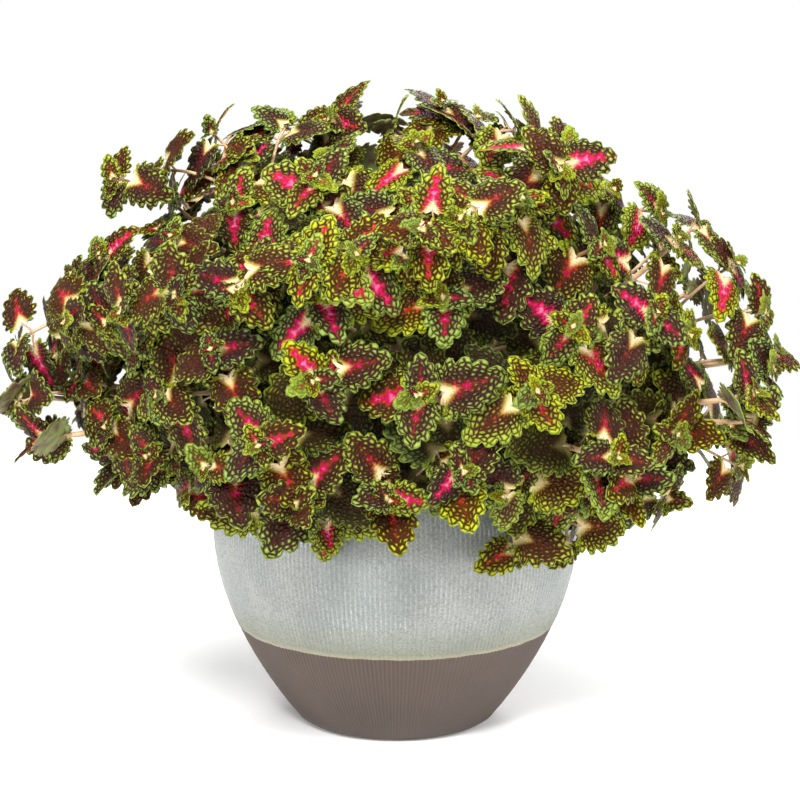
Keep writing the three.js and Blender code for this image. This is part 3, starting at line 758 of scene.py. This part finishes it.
AXIL_LEAVES = [(24, 9), (17, 6)]  # length, petiole
AXIL_SIZES = (0.8, 1.2)
AXIL_OUT, AXIL_ALONG, AXIL_SPREAD, AXIL_DROOP = 0.45, 0.75, 0.9, 0.1
AXIL_BASE_OUT = 0.6
AXIL_YOUTH = 0.6
LEAF_ROOTS = [(True, 1.5, 3), (False, NODE_FROM_TIP, 19)]  # whether at the tip, distance below it, petiole
look_draw = random.Random(613)


def square_to(way, axis):
    """The part of a direction that is square to an axis."""
    return (way - axis * way.dot(axis)).normalized()


def cad_blades(corners):
    """The place of each leaf of a stem's solid, from the fans of triangles on its two faces.

    A leaf's fans meet in its rim, and only the lower one has the corner under the petiole.
    """
    fans = {}
    for vert in corners.verts:
        count = len(vert.link_edges)
        if (count in LEAF_FANS or count in LEAF_FANS.values()) and len(vert.link_faces) == count:
            following = {}
            for face in vert.link_faces:
                ring = face.verts[:]
                i = ring.index(vert)
                following[ring[(i + 1) % 3]] = ring[(i + 2) % 3]
            fans[vert] = following
    found = []
    for top, ring in fans.items():
        for bottom, other in fans.items():
            if LEAF_FANS.get(len(ring)) != len(other) or (top.co - bottom.co).length > LEAF_DEPTH:
                continue
            under = [v for v in other if v not in ring]
            if len(under) != 1:
                continue
            right = other[under[0]]
            left = next(v for v, following in other.items() if following is under[0])
            if ring.get(left) is not right:
                left, right = right, left
            rim = [ring[right]]
            while ring[rim[-1]] is not left:
                rim.append(ring[rim[-1]])
            found.append(blade_pose(top.co / MM, bottom.co / MM, rim[0].co / MM, rim[-1].co / MM))
    return found


def blade_pose(top, bottom, right, left):
    """A leaf's base, its three directions and its length, from four corners of its solid."""
    up = (top - bottom).normalized()
    side = (right - left).normalized()
    along = up.cross(side).normalized()
    up = side.cross(along)
    length = (right - left).length / (2 * LOBE_ACROSS)
    middle = (top + bottom) / 2
    base = middle - along * (RIB_MIDDLE * length) + up * (BLADE_CURL * RIB_MIDDLE ** 2 * length)
    leaf = SimpleNamespace(base=base, side=side, along=along, up=up, length=length * REAL_SIZE)
    return lifted(tilted(leaf))


def tilted(leaf):
    """The leaf, turned on its petiole: a little towards the light, and a little at random."""
    nod = Matrix.Rotation(look_draw.uniform(-TILT_VARIES, 0.5 * TILT_VARIES), 3, leaf.side)
    roll = Matrix.Rotation(look_draw.uniform(-TILT_VARIES, TILT_VARIES), 3, leaf.along)
    base = leaf.base
    sunward = base.xy.normalized().to_3d() * LIGHT_OUT + UP * LIGHT_UP
    sunward.y -= LIGHT_FRONT * max(0.0, min(1.0, 0.5 - base.y / MOUND_RADIUS))
    angle = min(LIGHT_TURN * leaf.up.angle(sunward), MOST_LIGHT_TURN)
    turn = Matrix.Rotation(angle, 3, leaf.up.cross(sunward))
    leaf.side, leaf.along, leaf.up = (
        turn @ (nod @ (roll @ way)) for way in (leaf.side, leaf.along, leaf.up))
    return leaf


def hangs_free(leaf):
    """True if a leaf is outside the pot, above the mix and above the skirt."""
    lowest, rise = getattr(leaf, "skirt", SKIRT)
    for across, share in LEAF_SPOTS:
        sag = SAG_MARGIN * BLADE_CURL * share ** 2
        away = leaf.along * share + leaf.side * across - leaf.up * sag
        at = leaf.base + away * leaf.length
        reach = at.xy.length
        if at.z < lowest + rise * max(0.0, reach - SKIRT_FROM):
            return False
        if at.z < MIX_TOP / MM + MIX_CLEAR and reach < RIM_RADIUS / MM:
            return False
        beside_pot = at.z < POT_HEIGHT / MM + POT_CLEAR and reach > RIM_RADIUS / MM - RIM_BAND
        if beside_pot and reach < pot_radius(max(at.z, 0) * MM) / MM + POT_CLEAR:
            return False
    return True


def lifted(leaf):
    """The leaf, raised on its petiole until it hangs free, if it can."""
    lift = Matrix.Rotation(LIFT, 3, leaf.side)
    for _ in range(LIFTS):
        if hangs_free(leaf):
            break
        leaf.along, leaf.up = lift @ leaf.along, lift @ leaf.up
    return leaf


def new_leaf(root, base, along, up, length):
    return SimpleNamespace(
        root=root, base=base, side=along.cross(up), along=along, up=up, length=length)


def leaf_middle(leaf):
    return leaf.base + leaf.along * (0.5 * leaf.length)


def grown_leaf(shoot, distance, turn, length, petiole, lift, droop):
    """A leaf that the solids don't have, at a distance below a shoot's tip, by the same rule as theirs."""
    root, stem = shoot.line.from_tip(distance)
    across = square_to(shoot.across, stem)
    sideways = across * math.cos(turn) + stem.cross(across) * math.sin(turn)
    petiole_lift = math.radians(lift + PETIOLE_LIFT)
    base = root + (sideways * math.cos(petiole_lift) + stem * math.sin(petiole_lift)) * petiole
    rise = math.radians(lift)
    along = (sideways * math.cos(rise) + stem * math.sin(rise) - UP * droop).normalized()
    up = square_to(stem * BY_STEM + shoot.facing * BY_MOUND + UP * BY_SKY, along)
    leaf = new_leaf(root, base, along, up, length)
    leaf.skirt = getattr(shoot, "skirt", SKIRT)
    return lifted(tilted(leaf))


def depth_share(at):
    """How far out in the mound a point is: 0 at its centre and 1 at its surface."""
    rise = MOUND_RISE if at.z > MOUND_CENTRE else MOUND_FALL
    return math.hypot(at.xy.length / MOUND_RADIUS, (at.z - MOUND_CENTRE) / rise)


def grown_pairs(shoot, pairs, young=0.0):
    """Pairs of leaves at their distances below a shoot's tip, where there is room for them."""
    leaves = []
    for distance, turn, length, petiole, lift, droop in pairs:
        if distance + BARE_END > shoot.line.length:
            break
        for half_turn in (0, math.pi):
            size = length * look_draw.uniform(*PAIR_SIZES)
            leaf = grown_leaf(shoot, distance, turn + half_turn, size, petiole, lift, droop)
            leaf.young = young
            if hangs_free(leaf) and (length < BUD_LEAF or depth_share(leaf.base) > INSIDE):
                leaves.append(leaf)
    return leaves


def dress_shoot(shoot, blades):
    """Adds to a shoot's leaves those that the solids don't have."""
    tip_pairs = [leaf for leaf in blades if leaf.at_tip]
    node_pairs = [leaf for leaf in blades if not leaf.at_tip]
    node, stem = shoot.line.from_tip(NODE_FROM_TIP)
    guide = node_pairs[0].base - node if node_pairs else (
        stem.cross(tip_pairs[0].along) if tip_pairs else stem.orthogonal())
    shoot.across = square_to(guide, stem)
    leaves = blades + grown_pairs(shoot, BUD_PAIRS, young=1.0) + grown_pairs(shoot, OLDER_PAIRS)
    for leaf in node_pairs:
        for length, petiole in AXIL_LEAVES:
            for sign in (-1, 1):
                size = length * look_draw.uniform(*AXIL_SIZES)
                aim = leaf.along * AXIL_OUT + stem * AXIL_ALONG + leaf.side * (sign * AXIL_SPREAD)
                along = (aim - UP * AXIL_DROOP).normalized()
                base = leaf.root + (leaf.along * AXIL_BASE_OUT + stem).normalized() * petiole
                small = new_leaf(leaf.root, base, along, square_to(leaf.up, along), size)
                small.young = AXIL_YOUTH
                leaves.append(small)
    shoot.leaves = leaves


def settle(leaf, shoots):
    """Finds the shoot that a leaf of the solids grows from, and where."""
    best = None
    for shoot in shoots:
        for at_tip, distance, petiole in LEAF_ROOTS:
            root, _ = shoot.line.from_tip(distance)
            miss = abs((leaf.base - root).length - petiole)
            if best is None or miss < best[0]:
                best = (miss, shoot, at_tip, root)
    _, leaf.shoot, leaf.at_tip, leaf.root = best


# Places among the stems where short shoots fill the mound, and how far they stand from a leaf's middle.
FILL_PLACES = 1500
FILL_STEP = 0.618034
FILL_GAP = 27
FILL_LOWEST = math.radians(128)
FILL_REACH = (0.92, 1.06)
FILL_STARTS = [i / 20 for i in range(7, 19)]  # shares of a stem's length where short shoots may start
FULL_LEAF = 24  # leaves longer than this leave no room for a short shoot
INNER_SHARE, INNER_RISE = 0.72, 14  # where a short shoot starts: its share of the way out, and its rise
LONGEST_START = 130
FEWEST_LEAVES = 4
SHOULDER = 0.06  # how much the mound swells between its top and its sides
PULL_SHARE, PULL_OUT, PULL_UP = 0.55, 10, 0.16  # where the middle handle of a short shoot's curve is
RIM_PULL_RISE = 2.2
SPRAY_GAP = 12
SPRAY_LIGHT = Vector((0, -1.2, 0))  # turns the leaves of the outer sprays to the front
OUTER_SPRAYS = [  # turn and fall in degrees, and reach, as for the long sprays
    (182, 81, 1.16), (185, 94, 1.14), (185, 82, 1.03), (180, 47, 1.15), (180, 41, 1.08), (180, 33, 1.0),
    (180, 30, 1.09), (180, 26, 1.03), (180, 19, 1.03), (180, 11, 1.02), (180, 14, 1.06), (162, 18, 0.98),
    (0, 13, 1.03), (0, 20, 1.06), (0, 28, 0.98), (0, 41, 0.98), (0, 50, 1.03), (0, 57, 1.1),
    (0, 66, 1.12), (0, 70, 1.16), (0, 76, 1.15), (358, 86, 1.14), (355, 118, 1.18), (346, 131, 1.1),
    (317, 143, 1.13), (311, 144, 1.2), (301, 144, 1.12), (236, 138, 0.98), (252, 139, 0.95), (213, 132, 1.0),
]


def fill_mound(stems):
    """Grows a short shoot from the nearest stem to each bare place of the mound."""
    starts = [(shoots, shoots[0].line.at(share)[0]) for shoots in stems for share in FILL_STARTS]
    tree = point_tree([at for _, at in starts])
    middles = [leaf_middle(leaf) for shoots in stems for shoot in shoots for leaf in shoot.leaves
               if leaf.length > FULL_LEAF]
    places = []
    for i in range(FILL_PLACES):
        fall = math.acos(1 - (1 - math.cos(FILL_LOWEST)) * ((i * FILL_STEP) % 1))
        shoulder = 1 + SHOULDER * math.sin(2 * min(fall, math.pi / 2)) ** 2
        places.append((i * GOLDEN_TURN, fall, shoulder * look_draw.uniform(*FILL_REACH), FILL_GAP, SKIRT))
    for turn, fall, reach in OUTER_SPRAYS:
        places.append((math.radians(turn), math.radians(fall), reach, SPRAY_GAP, SPRAY_SKIRT))
    for turn, fall, reach, gap, skirt in places:
        at, out, facing = mound_point(turn, fall, reach)
        if skirt is SPRAY_SKIRT:
            facing = (facing + SPRAY_LIGHT).normalized()
        if min((at - middle).length for middle in middles) < gap:
            continue
        inner = at * INNER_SHARE + Vector((0, 0, (1 - INNER_SHARE) * MOUND_CENTRE + INNER_RISE))
        start, i, distance = tree.find(inner)
        if distance > LONGEST_START:
            continue
        pull = start.lerp(at, PULL_SHARE) + facing * PULL_OUT + UP * (PULL_UP * (at - start).length)
        if at.z < POT_HEIGHT / MM + RIM_CLEAR:
            pull = out * (RIM_RADIUS / MM + RIM_CLEAR) + UP * (POT_HEIGHT / MM + RIM_PULL_RISE * RIM_CLEAR)
        shoot = side_shoot(Line(start, pull, at), facing, STEM_TIP)
        shoot.skirt = skirt
        _, stem = shoot.line.from_tip(0)
        shoot.across = Matrix.Rotation(look_draw.uniform(0, math.pi), 3, stem) @ stem.orthogonal()
        leaves = grown_pairs(shoot, BUD_PAIRS, young=1.0) + grown_pairs(shoot, SHORT_SHOOT_PAIRS)
        if len(leaves) >= FEWEST_LEAVES:
            shoot.leaves = leaves
            middles += [leaf_middle(leaf) for leaf in leaves]
            starts[i][0].append(shoot)


# How leaves look. Only leaves that the solids have too, and longer than LARGE_LEAF, have the finest blades.
LARGE_LEAF = 40
MIDDLE_LEAF = 28
PETIOLE_LEAF = 12  # shorter leaves sit on the stem
PETIOLE_THICK = (0.35, 0.016)  # half its thickness on the smallest leaf, and more for each unit of length
PETIOLE_TAPER = (1.15, 0.9, 1, 0.6)
SHADED = 0.86  # deeper in the mound than this, leaves are in the shade
PINKS = (0.05, 0.2, 0.35, 0.5, 0.65, 0.88)
SHADED_PINK = -0.5
GREENS = (-1.6, 0.4)
YOUNG_GREEN = 1.3
YOUNG_PALES = 0.4
PLAIN_LENGTH = 46  # the length of a leaf whose cells have their plain size
CELL_SIZES = (0.5, 1.2)
# Painted shade: from here to the left, over this width, leaves are painted less green and less warm, and so
# darker.
SHADE_FROM, SHADE_WIDTH = -60, 140
SHADE_GREEN, SHADE_WARMTH = 0.8, 0.2


def tube_mesh(name, sides, tubes):
    """A mesh of closed tubes, each along its points with its radii."""
    curve = bpy.data.curves.new(name, "CURVE")
    curve.dimensions = "3D"
    curve.bevel_depth = 1.0
    curve.bevel_resolution = (sides - 4) // 2
    curve.use_fill_caps = True
    for points, radii in tubes:
        spline = curve.splines.new("POLY")
        spline.points.add(len(points) - 1)
        for point, at, radius in zip(spline.points, points, radii):
            point.co = (*(at * MM), 1)
            point.radius = radius * MM
    holder = new_object(name, curve)
    bpy.context.view_layer.update()
    mesh = bpy.data.meshes.new_from_object(holder.evaluated_get(bpy.context.evaluated_depsgraph_get()))
    bpy.data.objects.remove(holder)
    bpy.data.curves.remove(curve)
    return mesh


def petiole_tube(leaf):
    """A petiole's line, arched from the stem to the blade and a little into it."""
    root, base = leaf.root, leaf.base
    span = (base - root).length
    end = base + leaf.along * (0.04 * leaf.length) - leaf.up * 0.4
    bend = root.lerp(base, 0.5) + leaf.up * (0.1 * span) + leaf.along * (0.06 * span)
    thick = PETIOLE_THICK[0] + PETIOLE_THICK[1] * leaf.length
    return [root, bend, base, end], [share * thick for share in PETIOLE_TAPER]


def plant_piece(number, shoots):
    """One leafy stem's mesh: its tubes, petioles and blades in one."""
    name = f"leafy_stem_{number:02d}"
    stem_tubes = [shoot.tube for shoot in shoots]
    leaves = [leaf for shoot in shoots for leaf in shoot.leaves]
    petioles = [petiole_tube(leaf) for leaf in leaves if leaf.length > PETIOLE_LEAF]
    piece = bmesh.new()
    for mesh in (tube_mesh("stems", 8, stem_tubes), tube_mesh("petioles", 6, petioles)):
        mesh.materials.clear()
        piece.from_mesh(mesh)
        bpy.data.meshes.remove(mesh)
    for face in piece.faces:
        face.material_index = STEM_SLOT
        face.smooth = True
    for leaf in leaves:
        length = leaf.length
        kinds = LARGE_BLADES if hasattr(leaf, "shoot") and length > LARGE_LEAF else (
            MIDDLE_BLADES if length > MIDDLE_LEAF else SMALL_BLADES)
        blade = look_draw.choice(kinds).copy()
        place = Matrix((leaf.side, leaf.along, leaf.up)).transposed() * (length * MM)
        place = place.to_4x4()
        place.translation = leaf.base * MM
        blade.transform(place)
        young = getattr(leaf, "young", 0.0)
        pink = look_draw.choice(PINKS) * (1 - YOUNG_PALES * young)
        # Leaves towards the left are painted in shade.
        painted_left_shade = max(0.0, min(1.0, (SHADE_FROM - leaf.base.x) / SHADE_WIDTH))
        green = look_draw.uniform(*GREENS) + YOUNG_GREEN * young - SHADE_GREEN * painted_left_shade
        # Leaves deep in the mound are painted in shade: dark green, and without pink.
        if depth_share(leaf.base) < SHADED and not young:
            pink = SHADED_PINK
        warmth = look_draw.random() * (1 - SHADE_WARMTH * painted_left_shade)
        size = max(CELL_SIZES[0], min(CELL_SIZES[1], length / PLAIN_LENGTH))
        count = len(blade.vertices)
        blade.attributes["blade_look"].data.foreach_set("vector", (pink, green, warmth) * count)
        blade.attributes["blade_size"].data.foreach_set("value", (size,) * count)
        piece.from_mesh(blade)
        bpy.data.meshes.remove(blade)
    new_piece(f"coleus_{name}", new_mesh(name, piece, *PLANT_MATERIALS), "foliage", name)


def make_plant():
    stems = []
    for number, plan in enumerate(plan_stems(), start=1):
        corners = bmesh.new()
        corners.from_mesh(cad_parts[f"leafy_stem_{number:02d}"].data)
        bmesh.ops.remove_doubles(corners, verts=corners.verts, dist=2e-6)
        blades = cad_blades(corners)
        tree = point_tree([vert.co / MM for vert in corners.verts])
        corners.free()
        main, lean = max(
            (main_line(plan, bow) for bow in BOWS),
            key=lambda choice: corners_near(tree, choice[0].at(SECOND_RING)[0], 0.9 * STEM_BASE))
        side, facing = max(
            side_line(plan, main), key=lambda choice: corners_near(tree, choice[0].points[-1], STEM_TIP))
        shoots = [main_shoot(plan, main, lean)]
        if corners_near(tree, side.points[-1], STEM_TIP) >= 2:
            shoots.append(side_shoot(side, facing, STEM_TOP))
        for leaf in blades:
            settle(leaf, shoots)
        for shoot in shoots:
            dress_shoot(shoot, [leaf for leaf in blades if leaf.shoot is shoot])
        stems.append(shoots)
    fill_mound(stems)
    for number, shoots in enumerate(stems, start=1):
        plant_piece(number, shoots)


make_plant()

# ------ floor, light and camera
# The pot stands on a plain pale floor in soft light: large lamps in front, above and behind light the leaves,
# and low ones at both sides light the pot.
FLOOR_SIZE = 3.0
CAMERA_DISTANCE = 2.0
CAMERA_HEIGHT = 0.64
AIM = Vector((4 * MM, 0, 311 * MM))
VIEW_ANGLE = math.radians(21.5)
SENSOR_WIDTH = 36
LAMPS = {  # place and size in metres, and power in watts
    "key_lamp": ((-0.35, -1.9, 2.0), (0.7, 0.7), 96),
    "fill_lamp": ((1.7, -1.2, 1.6), (1.2, 1.2), 24),
    "left_lamp": ((-1.5, -0.45, 0.3), (0.8, 0.4), 9),
    "right_lamp": ((1.5, -0.45, 0.3), (0.8, 0.4), 4),
    "top_lamp": ((0, 0, 2.6), (1.6, 1.6), 76),
    "back_lamp": ((0.7, 2.0, 1.7), (1.4, 1.4), 40),
}


def aimed(thing, place):
    """Puts a lamp or a camera at its place and turns it to the plant."""
    thing.location = place
    thing.rotation_euler = (AIM - Vector(place)).to_track_quat("-Z", "Y").to_euler()


def make_floor():
    shape = bmesh.new()
    bmesh.ops.create_grid(shape, x_segments=1, y_segments=1, size=FLOOR_SIZE / 2)
    # The studio's table is lit from below, which makes shadows faint.
    material, _, shader, _ = new_material("pale_floor")
    fill_inputs(shader, {"Base Color": "#f4f4f4", "Roughness": 0.6, "Emission Color": "#ffffff",
                         "Emission Strength": 0.17})
    new_object("floor", new_mesh("floor", shape, material))


def add_lamps():
    for name, (place, size, power) in LAMPS.items():
        lamp = bpy.data.lights.new(name, "AREA")
        lamp.shape = "RECTANGLE"
        lamp.size, lamp.size_y = size
        lamp.energy = power
        aimed(new_object(name, lamp), place)


def make_world():
    """The studio's walls are white at the floor and dimmer overhead."""
    world = bpy.data.worlds.new("studio")
    world.use_nodes = True
    add = partial(add_node, world.node_tree.nodes)
    sky = add("TexCoord").outputs["Generated"]
    overhead = add("SeparateXYZ", sky).outputs["Z"]
    glow = add("MapRange", overhead, 0.03, 0.09, 1.0, 0.1)
    fill_inputs(world.node_tree.nodes["Background"], {"Color": "#ffffff", "Strength": glow})
    bpy.context.scene.world = world


def make_camera():
    camera = bpy.data.cameras.new("camera")
    camera.sensor_width = SENSOR_WIDTH
    camera.lens = SENSOR_WIDTH / 2 / math.tan(VIEW_ANGLE / 2)
    holder = new_object("camera", camera)
    aimed(holder, (AIM.x, -CAMERA_DISTANCE, CAMERA_HEIGHT))
    bpy.context.scene.camera = holder


make_floor()
add_lamps()
make_world()
bpy.context.scene.view_settings.view_transform = "Standard"
make_camera()
